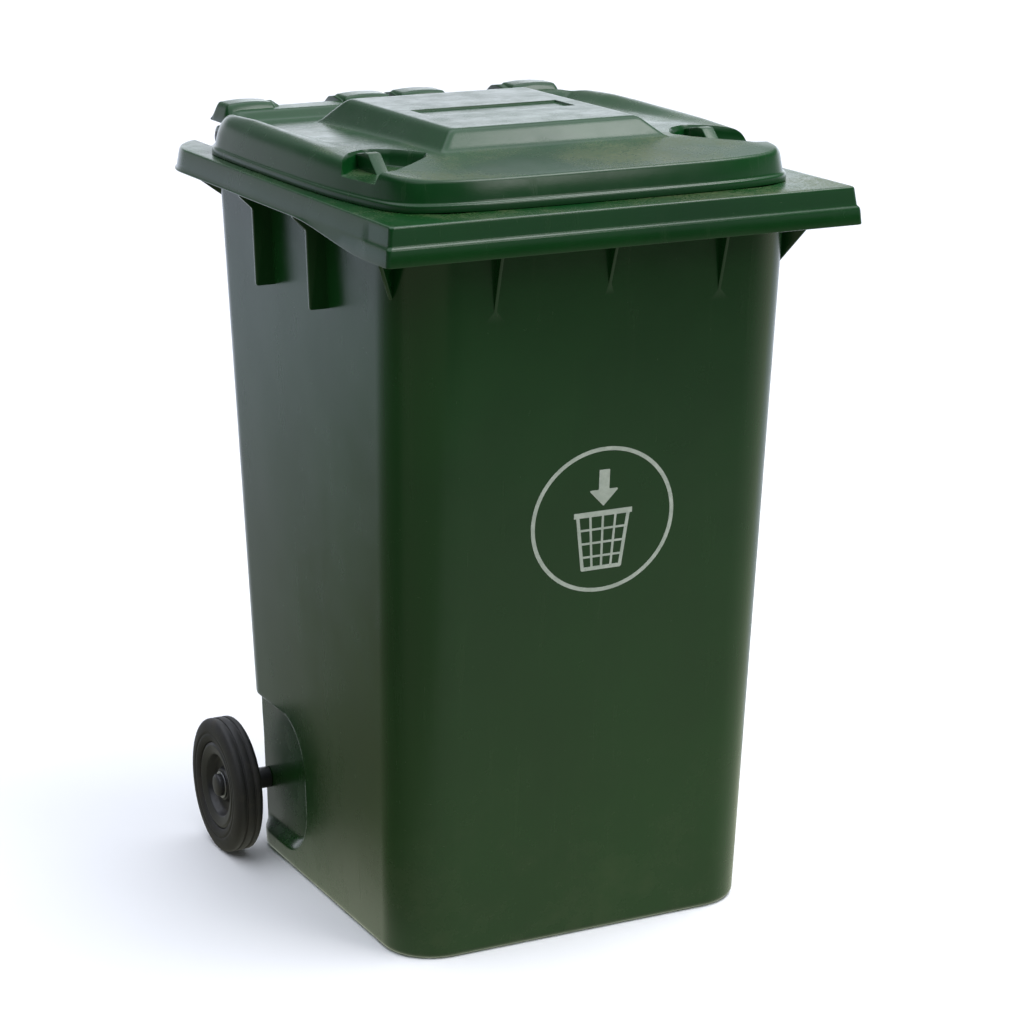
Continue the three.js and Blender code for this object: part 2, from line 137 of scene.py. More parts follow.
def prism(name, poly, axis, a, b, r=0.8, steps=3):
    """Prism of a polygon between a and b along an axis, its end edges rounded by r.
    axis x: polygon in (y, z); axis y: (x, z); axis z: (x, y)."""
    p = np.asarray(poly, float)
    if area2(p) < 0:
        p = p[::-1]
    lv = []
    if r > 0:
        for k in range(steps + 1):
            th = math.pi / 2 * k / steps
            lv.append((a + r * (1 - math.cos(th)), r * (1 - math.sin(th))))
        lv += [(a + b - q[0], q[1]) for q in lv[::-1]]
    else:
        lv = [(a, 0), (b, 0)]
    v = []
    for h, d in lv:
        q = poly_offset(p, d) if d > 1e-9 else p
        for s, t in q:
            v.append({'x': (h, s, t), 'y': (s, h, t), 'z': (s, t, h)}[axis])
    n = len(p); f = grid_faces(len(lv), n)
    f.append(list(range(n))[::-1]); f.append([(len(lv) - 1) * n + i for i in range(n)])
    return put(name, v, f)


def box(name, x0, x1, y0, y1, z0, z1, r=0.0):
    return prism(name, [(x0, y0), (x1, y0), (x1, y1), (x0, y1)], 'z', z0, z1, r)


def lathe(name, prof, y, z, n=96, side=1, close=True, wob=None):
    """Body turned about an X-parallel axis. prof = [(radius, x)]; radius 0 ends make a pole."""
    v = []; f = []; rows = []
    for r, x in prof:
        if r <= 1e-9:
            rows.append([len(v)]); v.append((side * x, y, z))
        else:
            rows.append(list(range(len(v), len(v) + n)))
            for i in range(n):
                th = 2 * math.pi * i / n
                rr = r if wob is None else r + wob(r, x, th)
                v.append((side * x, y + rr * math.cos(th), z + rr * math.sin(th)))
    m = len(rows)
    for k in range(m if close else m - 1):
        A, B = rows[k], rows[(k + 1) % m]
        if len(A) == 1 and len(B) == 1:
            continue
        for i in range(n):
            j = (i + 1) % n
            if len(A) == 1: f.append([A[0], B[i], B[j]])
            elif len(B) == 1: f.append([A[i], B[0], A[j]])
            else: f.append([A[i], B[i], B[j], A[j]])
    return put(name, v, f)


def bar(name, r, x0, x1, y, z, n=64, e=0.0):
    if e > 0:
        return lathe(name, [(0, x0), (r - e, x0), (r - e * .3, x0 + e * .3), (r, x0 + e), (r, x1 - e), (r - e * .3, x1 - e * .3), (r - e, x1), (0, x1)], y, z, n, close=False)
    return lathe(name, [(0, x0), (r, x0), (r, x1), (0, x1)], y, z, n, close=False)


def boolean(a, b, op):
    m = a.modifiers.new('b', 'BOOLEAN'); m.object = b; m.operation = op; m.solver = 'MANIFOLD'
    dg = bpy.context.evaluated_depsgraph_get(); dg.update()
    me = bpy.data.meshes.new_from_object(a.evaluated_get(dg))
    a.modifiers.clear(); old = a.data; name = old.name
    a.data = me; bpy.data.meshes.remove(old); me.name = name
    bm_ = b.data; bpy.data.objects.remove(b); bpy.data.meshes.remove(bm_)
    return a


def add(a, b): return boolean(a, b, 'UNION')
def cut(a, b): return boolean(a, b, 'DIFFERENCE')


def soft(o, deg=38):
    o.data.shade_smooth()
    o.data.set_sharp_from_angle(angle=math.radians(deg))
    return o


def smoothstep(t):
    t = np.clip(t, 0, 1); return t * t * (3 - 2 * t)


def smin(a, b, k):
    h = np.maximum(k - np.abs(a - b), 0) / k
    return np.minimum(a, b) - h * h * k / 4


def smax(a, b, k):
    return -smin(-a, -b, k)


def sclamp(t, k=0.16):
    return smax(smin(t, 1.0 + 0 * t, k), 0.0 + 0 * t, k)


def lerp(a, b, t): return a + (b - a) * t


def tub(z):
    t = z / 886.0
    return {k: lerp(TUB_BOT[k], TUB_TOP[k], t) for k in TUB_TOP}


def grow(s, d):
    return dict(xh=s['xh'] + d, y0=s['y0'] - d, y1=s['y1'] + d, rf=s['rf'] if s['rf'] < 30 else s['rf'] + d, rr=max(1.5, s['rr'] + d))


NFA, NRA = 16, 32
T1 = [0.12, 0.2, 0.25, 0.272, 0.3, 0.36, 0.42, 0.5, 0.6, 0.7, 0.8, 0.9]
YMID = [200, 215, 232, 250, 264, 272, 280, 300, 322, 345, 365, 385, 398] + list(np.arange(405, 546, 2.5))
T2 = [0.25, 0.5, 0.75]
XF = np.linspace(0, 1, 30)[1:-1]
XR = np.linspace(0, 1, 34)[1:-1]


def outline(s):
    o = []
    def arc(cx, cy, r, a0, n):
        for i in range(n + 1):
            a = a0 + math.pi / 2 * i / n
            o.append((cx + r * math.cos(a), cy + r * math.sin(a)))
    xh, y0, y1, rf, rr = (s[k] for k in ('xh', 'y0', 'y1', 'rf', 'rr'))
    arc(-xh + rf, y0 + rf, rf, math.pi, NFA)
    for t in XF: o.append((lerp(-xh + rf, xh - rf, t), y0))
    arc(xh - rf, y0 + rf, rf, 1.5 * math.pi, NFA)
    side = [lerp(y0 + rf, 200, t) for t in T1] + YMID + [lerp(545, y1 - rr, t) for t in T2]
    for y in side: o.append((xh, y))
    arc(xh - rr, y1 - rr, rr, 0, NRA)
    for t in XR: o.append((lerp(xh - rr, -xh + rr, t), y1))
    arc(-xh + rr, y1 - rr, rr, 0.5 * math.pi, NRA)
    for y in side[::-1]: o.append((-xh, y))
    return np.array(o)


def ring(s, z):
    p = outline(s)
    zz = np.array([z(x, y) for x, y in p]) if callable(z) else np.full(len(p), float(z))
    return np.column_stack([p, zz])


def recess_cut(p, floor_x, grow_by, soft_out=4.0, soft_in=11.0):
    """Presses the wheel recess into the wall: x is pulled in to floor_x inside a rounded outline open to the rear."""
    y, z = p[:, 1], p[:, 2]
    top, bot, fr = 212 + grow_by, 28 - grow_by, 420 - grow_by
    r = np.where(z > 122, 68 + grow_by, 72 + grow_by)
    a = (fr - y) + r; b = np.maximum(z - top, bot - z) + r
    sd = np.minimum(np.maximum(a, b), 0) + np.hypot(np.maximum(a, 0), np.maximum(b, 0)) - r
    w = smoothstep((soft_out - sd) / (soft_out + soft_in))
    ax = np.abs(p[:, 0])
    q = p.copy()
    q[:, 0] = np.sign(p[:, 0]) * (ax - np.maximum(ax - floor_x, 0) * w)
    return q


def skirt_z(y):
    t = float(sclamp(np.float64((y - 86) / 154), 0.2))
    return lerp(Z_SKIRT_FRONT, Z_SKIRT_SIDE, t)


# ------------------------------------------------------------------ tub
ZROWS = [14, 18] + list(np.arange(21.5, 224, 2.25)) + [228, 236, 250, 270] + list(range(300, 781, 32)) + [800, 820, 840, 860, 874, 886, 900, 912]
rings = []
for k in range(9):
    th = math.pi / 2 * k / 8
    rings.append(ring(grow(tub(9 * (1 - math.cos(th))), -9 * (1 - math.sin(th))), 9 * (1 - math.cos(th))))
for z in ZROWS:
    rings.append(ring(tub(z), z))
rings = [recess_cut(r, 229.0, 0.0) for r in rings]
for z, g in ((920, 0.0), (923.6, 0.5), (925, 2.0)):
    rings.append(ring(grow(tub(z), g), z))
F = lambda y: smoothstep((64 - y) / 8)       # 1 on the front band, 0 on the sides


def collar(gf, zf, gs, zs):
    """Collar ring given by its offset and height at the front and at the sides."""
    p = outline(grow(RIM, gs)); q = outline(grow(RIM, gf))
    m = np.array([float(F(y)) for y in q[:, 1]])
    xy = p * (1 - m[:, None]) + q * m[:, None]
    z = zs * (1 - m) + zf * m
    return np.column_stack([xy, z])


rings.append(ring(grow(RIM, -7.0), 925)); rings.append(ring(grow(RIM, -5.4), 924))
rings.append(ring(grow(RIM, FLARE - 5.2), lambda x, y: skirt_z(y) + 0.8))
rings.append(ring(grow(RIM, FLARE - 4.6), lambda x, y: skirt_z(y) + 0.1))
rings.append(ring(grow(RIM, FLARE - 1.4), lambda x, y: skirt_z(y)))
rings.append(ring(grow(RIM, FLARE - 0.4), lambda x, y: skirt_z(y) + 0.4))
rings.append(ring(grow(RIM, FLARE), lambda x, y: skirt_z(y) + 1.4))
for gf, zf, gs, zs in ((6.1, 903.0, 5.2, 905.6), (5.75, 904.8, 5.0, 906.4), (5.35, 906.0, 4.85, 907.0), (4.7, 907.0, 4.7, 907.6), (3.8, 907.9, 4.55, 908.2), (3.1, 908.9, 4.4, 908.8),
                       (2.75, 910.3, 4.25, 909.6), (2.5, 912.5, 3.9, 912.0), (1.6, 919.5, 2.6, 919.0), (0.95, 925.0, 1.4, 925.0), (0.65, 927.4, 0.8, 927.4)):
    rings.append(collar(gf, zf, gs, zs))
for th in (0, 18, 36, 54, 72, 90):
    t = math.radians(th); R = 3.0
    rings.append(ring(grow(RIM, 0.5 - R * (1 - math.cos(t))), 928.0 + R * math.sin(t)))
rings.append(ring(grow(RIM, -8), 931))
tub_o = loft('tub_shell', rings)

inner = []
for k in range(7):
    th = math.pi / 2 * k / 6
    z = 6 + 9 * (1 - math.cos(th))
    inner.append(ring(grow(tub(z), -5 - 9 * (1 - math.sin(th))), z))
for z in [18] + list(np.arange(21.5, 224, 4.5)) + [228, 236, 250, 280, 330, 400, 500, 600, 700, 800, 886, 920, 929.4]:
    inner.append(ring(grow(tub(z), -5), z))
inner = [recess_cut(r, 224.0, 5.0) for r in inner]
inner += [ring(grow(tub(930.3), -4.7), 930.3), ring(grow(tub(931.0), -4.0), 931.0), ring(grow(tub(950.0), -4.0), 950.0)]
cav = loft('cav', inner)
cut(cav, box('t', -195, 195, 546, 700, -20, 124))
cut(cav, bar('t', 17, -240, 240, WHEEL_Y, WHEEL_Z))

cut(tub_o, box('t', -256, 256, 661, 770, 800, 940, 0))

ear = [(640, 928), (716.5, 928)]
for i in range(25):
    a = math.pi * (0.93 - 1.43 * i / 24)
    ear.append((HINGE_Y + 16 * math.cos(a), HINGE_Z + 16 * math.sin(a)))
ear += [(722, 914.5), (684, 897), (640, 872)]
for a, b in ((-4, 4), (77, 88), (150, 161), (207, 218), (-88, -77), (-161, -150), (-218, -207)):
    add(tub_o, prism('t', ear, 'x', a, b, 1.0))
for a, b in ((87, 151), (-151, -87)):
    add(tub_o, bar('t', 15, a, b, HINGE_Y, HINGE_Z, 72))
for s in (-1, 1):
    for y in (442, 272):
        g = poly_round([(250, 788), (284, 788), (286.5, 884), (303, 900), (303.5, 903), (298.5, 928), (250, 928)], [0, 2.5, 6, 4, 1, 0, 0])
        add(tub_o, prism('t', [(s * q[0], q[1]) for q in g], 'y', y, y + 6, 1.1))

    def gusset(x, y, dx, dy, ztip, reach):
        g = [(-12, ztip - 8), (0, ztip), (reach, Z_SKIRT_FRONT + 4), (reach, 928), (-12, 928)]
        o = prism('t', g, 'y', -2.5, 2.5, 0.8)
        me = o.data; a = math.atan2(dy, dx); ca, sa = math.cos(a), math.sin(a)
        for v in me.vertices:
            px, py = v.co.x * 1000, v.co.y * 1000 + Y_MID
            qx, qy = ca * px - sa * py + x, sa * px + ca * py + y
            v.co.x, v.co.y = qx / 1000, (qy - Y_MID) / 1000
        return o
    add(tub_o, gusset(s * 257, 98, s * 0.66, -0.75, 829, 50))
    add(tub_o, gusset(s * 246, 633, s * 0.9, 0.436, 866, 34))
for x, z in ((-147, 812), (0, 832), (147, 812)):
    add(tub_o, prism('t', [(60, z - 12), (tub(z)['y0'], z), (30, 886), (24, 928), (60, 928)], 'x', x - 2, x + 2, 0.7))
cut(tub_o, cav)
cut(tub_o, box('t', -190, 190, 552, 700, -25, 118))
cut(tub_o, bar('t', 10.6, -330, 330, WHEEL_Y, WHEEL_Z, 48))
cut(tub_o, bar('t', 6.6, -330, 330, HINGE_Y, HINGE_Z, 48))
for s in (-1, 1):
    cut(tub_o, bar('t', 11.5, -320 if s < 0 else 219, -219 if s < 0 else 320, HINGE_Y, HINGE_Z, 48))
soft(tub_o, 30)

# ------------------------------------------------------------------ lid
CREST = [(42, 966), (60, 969), (120, 971), (220, 975), (300, 978.5), (400, 980.5), (520, 982), (600, 979), (660, 976), (695, 972)]
BASIN = [(42, 966), (60, 967), (185, 977), (292, 976), (400, 973), (520, 969), (600, 965), (700, 965)]
PX, PXF, PY0, PY0F, PY1, PY1F, PZ = 125.0, 150.0, 213.0, 186.0, 520.0, 560.0, 1000.0
LAB = dict(x=99.0, y0=330.0, y1=384.0, d=2.5)
HALF = [(0, 42), (100, 42.5), (170, 46), (212, 54), (241, 66), (258, 88), (267, 118), (273, 155), (279, 200), (283, 260), (285, 330), (285, 540), (281, 590), (267, 622), (246, 652), (216, 676), (170, 689), (100, 692), (0, 692)]


def tab(t, v):
    a = np.array(t, float)
    w = np.zeros_like(v, float); acc = 0
    for off, k in ((-14, .12), (-7, .23), (0, .3), (7, .23), (14, .12)):
        acc = acc + k * np.interp(v + off, a[:, 0], a[:, 1])
    return acc


# smooth closed outline by a centripetal spline through the half-outline's points
def catmull(P, m):
    P = np.array(P, float); n = len(P); out = []
    for i in range(n):
        p0, p1, p2, p3 = P[i - 1], P[i], P[(i + 1) % n], P[(i + 2) % n]
        d = lambda a, b: max(1e-6, float(np.hypot(*(b - a))) ** 0.5)
        t0 = 0; t1 = t0 + d(p0, p1); t2 = t1 + d(p1, p2); t3 = t2 + d(p2, p3)
        for k in range(m):
            t = t1 + (t2 - t1) * k / m
            A1 = (t1 - t) / (t1 - t0) * p0 + (t - t0) / (t1 - t0) * p1
            A2 = (t2 - t) / (t2 - t1) * p1 + (t - t1) / (t2 - t1) * p2
            A3 = (t3 - t) / (t3 - t2) * p2 + (t - t2) / (t3 - t2) * p3
            B1 = (t2 - t) / (t2 - t0) * A1 + (t - t0) / (t2 - t0) * A2
            B2 = (t3 - t) / (t3 - t1) * A2 + (t - t1) / (t3 - t1) * A3
            out.append((t2 - t) / (t2 - t1) * B1 + (t - t1) / (t2 - t1) * B2)
    return np.array(out)


right = HALF[:-1]; left = [(-x, y) for x, y in HALF[::-1][:-1]]
OUT = catmull(right + left, 24)
for _ in range(10):                     # evens the curvature
    OUT = 0.25 * np.roll(OUT, 1, 0) + 0.5 * OUT + 0.25 * np.roll(OUT, -1, 0)


def resample(poly, marks, counts):
    """Closed polyline split at the points nearest to marks, each stretch sampled at the given fractions."""
    q = []; n = len(poly)
    idx = [int(np.argmin(np.hypot(poly[:, 0] - m[0], poly[:, 1] - m[1]))) for m in marks]
    for a in range(4):
        i0, i1 = idx[a], idx[(a + 1) % 4]
        if i1 <= i0: i1 += n
        seg = poly[np.arange(i0, i1 + 1) % n]
        L = np.concatenate([[0], np.cumsum(np.hypot(*np.diff(seg, axis=0).T))]); L /= L[-1]
        fr = counts[a]
        q.append(np.column_stack([np.interp(fr, L, seg[:, 0]), np.interp(fr, L, seg[:, 1])]))
    return np.concatenate(q)


# fractions along the platform's top edges, with lines at the label recess
IX, IY0, IY1 = PX - 5.0, PY0 + 5.0, PY1 - 6.0


def fracs(lo, hi, marks, step):
    v = set(np.round(np.linspace(lo, hi, int((hi - lo) / step) + 1), 3))
    for m in marks:
        v = {u for u in v if abs(u - m) > 1.6}
        v |= {m - 0.9, m - 0.3, m + 0.3, m + 0.9}
    v = np.array(sorted(v)); return (v - lo) / (hi - lo)


FX = fracs(-IX, IX, [-LAB['x'], LAB['x']], 2.8)
FY = fracs(IY0, IY1, [LAB['y0'], LAB['y1']], 3.0)
cnt = [FX[:-1], FY[:-1], (1 - FX[::-1])[:-1], (1 - FY[::-1])[:-1]]
OR = resample(OUT, [(-254, 82), (254, 82), (256, 640), (-256, 640)], cnt)
N = len(OR)


def inset(p, d):
    a, b = np.roll(p, 1, 0), np.roll(p, -1, 0); t = b - a; t /= np.hypot(t[:, 0], t[:, 1])[:, None]
    return p + np.column_stack([-t[:, 1], t[:, 0]]) * d


def rect(x, y0, y1):
    o = []
    for f in cnt[0]: o.append((lerp(-x, x, f), y0))
    for f in cnt[1]: o.append((x, lerp(y0, y1, f)))
    for f in cnt[2]: o.append((lerp(x, -x, f), y1))
    for f in cnt[3]: o.append((-x, lerp(y1, y0, f)))
    return np.array(o)


# height of the lid's leaning wall against the distance in from its edge: at the sides and rear, and at the steeper front
WT = np.array([(0, 940), (4, 941), (8, 958), (9.5, 962.2), (11.5, 966.6), (14, 970.6), (17, 974), (21, 977.4), (26, 981.5), (32, 990), (40, 1010)], float)
WF = np.array([(0, 940), (4, 941), (6.5, 958), (8, 963), (9.5, 967), (12, 971.5), (15, 975.5), (24, 984), (34, 1010)], float)


def front_part(y): return smoothstep((190 - y) / 90)


def top_z(x, y, d, drop=0.0):
    """Height of the lid's top; d is the distance in from its edge."""
    ax = np.abs(x)
    basin = tab(BASIN, y)
    bead = sclamp((ax - 226) / 22, 0.3)
    z = lerp(basin, tab(CREST, y), bead)
    rb = sclamp((y - 612) / 14, 0.3) * (1 - 0 * y)
    z = lerp(z, np.maximum(z, 977.0), rb)
    z = z - 7 * smoothstep((y - 676) / 16)
    px = (PXF - ax) / (PXF - PX)
    py = np.minimum((y - PY0F) / (PY0 - PY0F), (PY1F - y) / (PY1F - PY1))
    m = sclamp(smin(px, py, 0.22), 0.2)
    z = lerp(z, PZ, m)
    lab = np.minimum(LAB['x'] - ax, np.minimum(y - LAB['y0'], LAB['y1'] - y))
    z = z - LAB['d'] * smoothstep((lab + 0.6) / 1.2)
    f = front_part(y)
    w = lerp(np.interp(d, WT[:, 0], WT[:, 1]), np.interp(d, WF[:, 0], WF[:, 1]), f)
    return smin(z, w, 5.0) - drop


def lid_surface(name, thick, low):
    """Closed body under the lid's surface, moved in and down by thick; low is the height of its flat underside."""
    e = OR if thick == 0 else inset(OR, thick)
    rr = []
    if thick == 0:
        prof = [(0.7, low), (0.15, low + 0.5), (0, low + 1.3), (0.45, 937.6), (0.8, 939.1), (1.5, 940.1), (2.6, 940.7), (3.6, 941.3), (4.2, 942.4), (4.7, 944.4), (8, 958)]
    else:
        prof = [(0, low), (0, 931), (0.8, 937), (4.2, 939), (8, 954)]
    for d, z in prof:
        p = inset(e, d)
        if d >= 8: z = lerp(z, z + 5, front_part(p[:, 1]))
        rr.append(np.column_stack([p, np.full(N, z) if np.isscalar(z) else z]))
    zo = 0 if thick == 0 else 4.0
    D = [9, 10, 11, 12.2, 13.6, 15, 17, 19, 21.5, 24, 27, 30, 33, 36, 39, 42]
    for d in D:
        p = inset(e, d)
        for _ in range(int(d / 3)):
            p = 0.2 * np.roll(p, 1, 0) + 0.6 * p + 0.2 * np.roll(p, -1, 0)
        z = top_z(p[:, 0], p[:, 1], np.full(N, float(d)), zo)
        rr.append(np.column_stack([p, z]))
    last = rr[-1][:, :2]
    foot = rect(PXF + 4, PY0F - 4, PY1F + 6)
    big = np.full(N, 99.0)
    M = 34
    for k in range(1, M + 1):
        t = k / M
        p = lerp(last, foot, t)
        rr.append(np.column_stack([p, top_z(p[:, 0], p[:, 1], 42 + 60 * t + 0 * big, zo)]))
    top = rect(IX, IY0, IY1)
    M = 16
    for k in range(1, M + 1):
        p = lerp(foot, top, k / M)
        rr.append(np.column_stack([p, top_z(p[:, 0], p[:, 1], big, zo)]))
    nr = len(rr)
    v = np.concatenate(rr); f = grid_faces(nr, N)
    # grid over the platform's top
    nx, ny = len(FX), len(FY)
    X = lerp(-IX, IX, FX); Y = lerp(IY0, IY1, FY)
    base = (nr - 1) * N; vid = {}; extra = []
    k = 0
    for i in range(nx - 1): vid[(i, 0)] = base + k; k += 1
    for j in range(ny - 1): vid[(nx - 1, j)] = base + k; k += 1
    for i in range(nx - 1, 0, -1): vid[(i, ny - 1)] = base + k; k += 1
    for j in range(ny - 1, 0, -1): vid[(0, j)] = base + k; k += 1
    gx, gy = np.meshgrid(X, Y, indexing='ij')
    gz = top_z(gx.ravel(), gy.ravel(), np.full(gx.size, 99.0), zo).reshape(gx.shape)
    cntv = len(v)
    for i in range(1, nx - 1):
        for j in range(1, ny - 1):
            vid[(i, j)] = cntv + len(extra); extra.append((gx[i, j], gy[i, j], gz[i, j]))
    v = np.concatenate([v, np.array(extra)])
    for i in range(nx - 1):
        for j in range(ny - 1):
            f.append([vid[(i, j)], vid[(i + 1, j)], vid[(i + 1, j + 1)], vid[(i, j + 1)]])
    # flat underside: rings shrinking to a centre point
    prev = 0; c = np.array([0, 370.0, low]); r0 = rr[0]
    for t in (0.8, 0.5, 0.2):
        nb = len(v); v = np.concatenate([v, c + (r0 - c) * t])
        for i in range(N):
            j = (i + 1) % N; f.append([prev + j, prev + i, nb + i, nb + j])
        prev = nb
    ci = len(v); v = np.concatenate([v, [c]])
    for i in range(N):
        f.append([prev + (i + 1) % N, prev + i, ci])
    return put(name, v, f)


lid_o = lid_surface('lid_shell', 0.0, 931.35)
under = lid_surface('lid_under', 4.0, 905.0)
scoop = [(300, 186), (268, 208), (244, 240), (214, 262), (190, 246), (174, 220), (166, 198), (178, 176), (205, 150), (234, 126), (262, 122), (300, 150)]


def scoop_body(s, e, z0):
    """Cutter of the grip hollow: rounded plan, walls leaning out a little towards the top."""
    p = poly_round(scoop, [0, 6, 14, 16, 14, 14, 12, 12, 20, 12, 8, 0], 6)
    p = poly_offset(np.array(p) if area2(p) > 0 else np.array(p)[::-1], -e)
    lv = [(z0, 6.5), (z0 + 0.6, 4.6), (z0 + 2.0, 3.4), (z0 + 12, 1.0), (z0 + 16, -0.5), (z0 + 19.5, -2.8), (z0 + 22, -6.0), (z0 + 60, -7.0)]
    v = []
    for z, d in lv:
        q = poly_offset(p, d)
        for x, y in q: v.append((s * x, y, z))
    n = len(p); f = grid_faces(len(lv), n)
    f.append(list(range(n))[::-1]); f.append([(len(lv) - 1) * n + i for i in range(n)])
    return put('t', v, f)


for s in (-1, 1):
    cut(lid_o, scoop_body(s, 0.0, 957.0))
    cut(under, scoop_body(s, 4.0, 953.0))
cut(lid_o, under)
arm = [(628, 957), (640, 972), (656, 979), (680, 982), (700, 979), (718, 968), (732, 957), (741, 946)]
arm = poly_round(arm, [0, 10, 14, 14, 14, 12, 10, 0], 5)
for i in range(25):
    a = 0.35 - (math.pi + 0.5) * i / 24
    arm.append((HINGE_Y + 15 * math.cos(a), HINGE_Z + 15 * math.sin(a)))
arm += [(709, 946), (700, 956), (684, 962), (655, 962)]


def hump(xc):
    """Low rounded hump across the rear of the lid, over a hinge arm."""
    X = np.linspace(-38, 38, 41); Y = np.linspace(628, 695.5, 25); v = []
    for y in Y:
        k = float(smoothstep(np.float64((y - 626) / 26)) * smoothstep(np.float64((697.5 - y) / 14)))
        for x in X:
            e = float(sclamp(np.float64((38 - abs(x)) / 6.5), 0.5)) ** 0.6
            top = 985.5 - 3.2 * (x / 36) ** 2
            v.append((xc + x, y, 961 + (top - 961) * k * e))
    nx, ny = len(X), len(Y); n0 = len(v)
    for y in Y:
        for x in X: v.append((xc + x, y, 959.5))
    f = []
    for j in range(ny - 1):
        for i in range(nx - 1):
            a_ = j * nx + i
            f.append([a_, a_ + 1, a_ + nx + 1, a_ + nx]); f.append([n0 + a_, n0 + a_ + nx, n0 + a_ + nx + 1, n0 + a_ + 1])
    for i in range(nx - 1):
        f.append([i, n0 + i, n0 + i + 1, i + 1]); o = (ny - 1) * nx; f.append([o + i, o + i + 1, n0 + o + i + 1, n0 + o + i])
    for j in range(ny - 1):
        a_, b_ = j * nx, (j + 1) * nx
        f.append([a_, b_, n0 + b_, n0 + a_]); f.append([a_ + nx - 1, n0 + a_ + nx - 1, n0 + b_ + nx - 1, b_ + nx - 1])
    return put('t', v, f)


rib = poly_round([(186, 954.5), (191, 957.3), (216, 978), (228, 978), (262, 972), (262, 954.5)], [0, 2.5, 4, 3, 0, 0], 4)
for s in (-1, 1):
    for a, b in ((5, 75.5), (162.5, 205.5)):
        x0, x1 = (-b, -a) if s < 0 else (a, b)
        add(lid_o, prism('t', arm, 'x', x0, x1, 2.2, 5))
    for xc in (40, 204):
        add(lid_o, hump(s * xc))
    add(lid_o, prism('t', rib, 'x', -231 if s < 0 else 214, -214 if s < 0 else 231, 1.4, 4))
cut(lid_o, bar('t', 6.8, -330, 330, HINGE_Y, HINGE_Z, 48))
soft(lid_o, 32)

# ------------------------------------------------------------------ wheels and small parts
tyre_half = [(58.4, 14.6), (59.4, 16.2), (62, 17.5), (66, 18.5), (68.5, 18.8), (69.3, 18.3), (70.6, 18.3), (71.4, 18.95), (74, 19), (78, 18.6), (82, 18), (85, 17), (87.2, 15.8), (88.8, 14.2), (89.5, 12.2), (89.6, 11.4),
             (89.6, 8.2), (89.3, 7.5), (88.1, 7.0), (87.7, 6.5), (87.7, 5.3), (88.1, 4.8), (89.3, 4.4), (89.6, 3.7)]
tyre_prof = [(r, WHEEL_X + x) for r, x in tyre_half] + [(r, WHEEL_X - x) for r, x in tyre_half[::-1]]
rim_raw = [(10.6, -19), (21, -19), (24, -6), (40, -4), (50, -13), (58, -13.5), (58, 14.5), (54, 16.5), (42, 13), (38, 3), (24, 1.5), (21, 7.4), (10.6, 7.4)]
rim_prof = [(r, WHEEL_X + x) for r, x in poly_round(rim_raw, [0.4, 1.5, 4, 4, 3, 0.6, 1.0, 3, 3, 4, 3, 1.5, 0.4], 5)]
PARTS = {}
for s, side in ((-1, 'left'), (1, 'right')):
    W = dict(y=WHEEL_Y, z=WHEEL_Z, side=s)
    PARTS['tyre_' + side] = lathe('tyre_body_' + side, tyre_prof, n=160, **W)
    PARTS['wheel_centre_' + side] = lathe('wheel_hub_' + side, rim_prof, n=128, **W)
    PARTS['axle_sleeve_' + side] = lathe('sleeve_' + side, poly_round([(10.5, 229.5), (14.2, 229.5), (14.2, 266.6), (10.5, 266.6)], 0.5, 3), n=72, **W)
    PARTS['inner_washer_' + side] = lathe('washer_in_' + side, poly_round([(10.4, 267), (18, 267), (18, 269), (10.4, 269)], 0.4, 3), n=72, **W)
    PARTS['outer_washer_' + side] = lathe('washer_out_' + side, poly_round([(10.4, 296.3), (18, 296.3), (18, 298), (10.4, 298)], 0.4, 3), n=72, **W)
    cap = [(10.35, 298.4), (14.5, 298.4), (15, 298.9), (15, 302), (14.6, 303.3), (13.4, 304.4), (10.5, 305.4), (6, 305.9), (0, 306), (0, 301.5), (10.35, 301.5)]
    PARTS['axle_end_cap_' + side] = lathe('cap_' + side, cap, n=72, **W)
    rod = [(0, 0.6), (5.6, 0.6), (6, 1.0), (6, 218.0), (6.2, 218.4), (8.7, 218.4), (9, 218.8), (9, 219.9), (8.4, 220.9), (7, 221.5), (0, 221.6)]
    PARTS['hinge_rod_' + side] = lathe('hinge_pin_' + side, rod, n=64, y=HINGE_Y, z=HINGE_Z, side=s, close=False)
PARTS['axle'] = bar('axle_bar', 10, -301, 301, WHEEL_Y, WHEEL_Z, 72, 0.8)
for k, o in PARTS.items():
    soft(o, 40)

# ------------------------------------------------------------------ printed sign: ring, arrow and waste basket
SIGN_Z, SIGN_X, SIGN_SQ = 544.0, 3.5, 0.948


def sign_prism(poly, rr=0.9, n=4):
    """Flat figure in (x, s) set on the sloping front wall, s up the wall from the sign's middle."""
    p = np.array(poly_round(poly, rr, n) if rr > 0 else poly, float)
    if area2(p) < 0: p = p[::-1]
    v = []
    for d in (-0.5, 0.3):
        for x, s_ in p:
            z = SIGN_Z + s_ * SIGN_SQ; y = tub(z)['y0'] - d
            v.append((SIGN_X + x, y, z))
    m = len(p); f = grid_faces(2, m); f.append(list(range(m))[::-1]); f.append([m + i for i in range(m)])
    return put('t', v, f)


def circle(r, n=160): return [(r * math.cos(2 * math.pi * i / n), r * math.sin(2 * math.pi * i / n)) for i in range(n)]


def disc(r, d0=-0.5, d1=0.3):
    v = []
    for d in (d0, d1):
        for x, s_ in circle(r):
            z = SIGN_Z + s_ * SIGN_SQ
            v.append((SIGN_X + x, tub(z)['y0'] - d, z))
    f = grid_faces(2, 160); f.append(list(range(160))[::-1]); f.append([160 + i for i in range(160)])
    return put('sign', v, f)


sign = disc(95.7)
cut(sign, disc(90.6, -2, 2))
BW, BB, BT, BH = 34.0, 25.0, 0.0, 72.0      # basket: half width at top and bottom, height


def bx(t): return lerp(BB, BW, t)            # half width at height fraction t


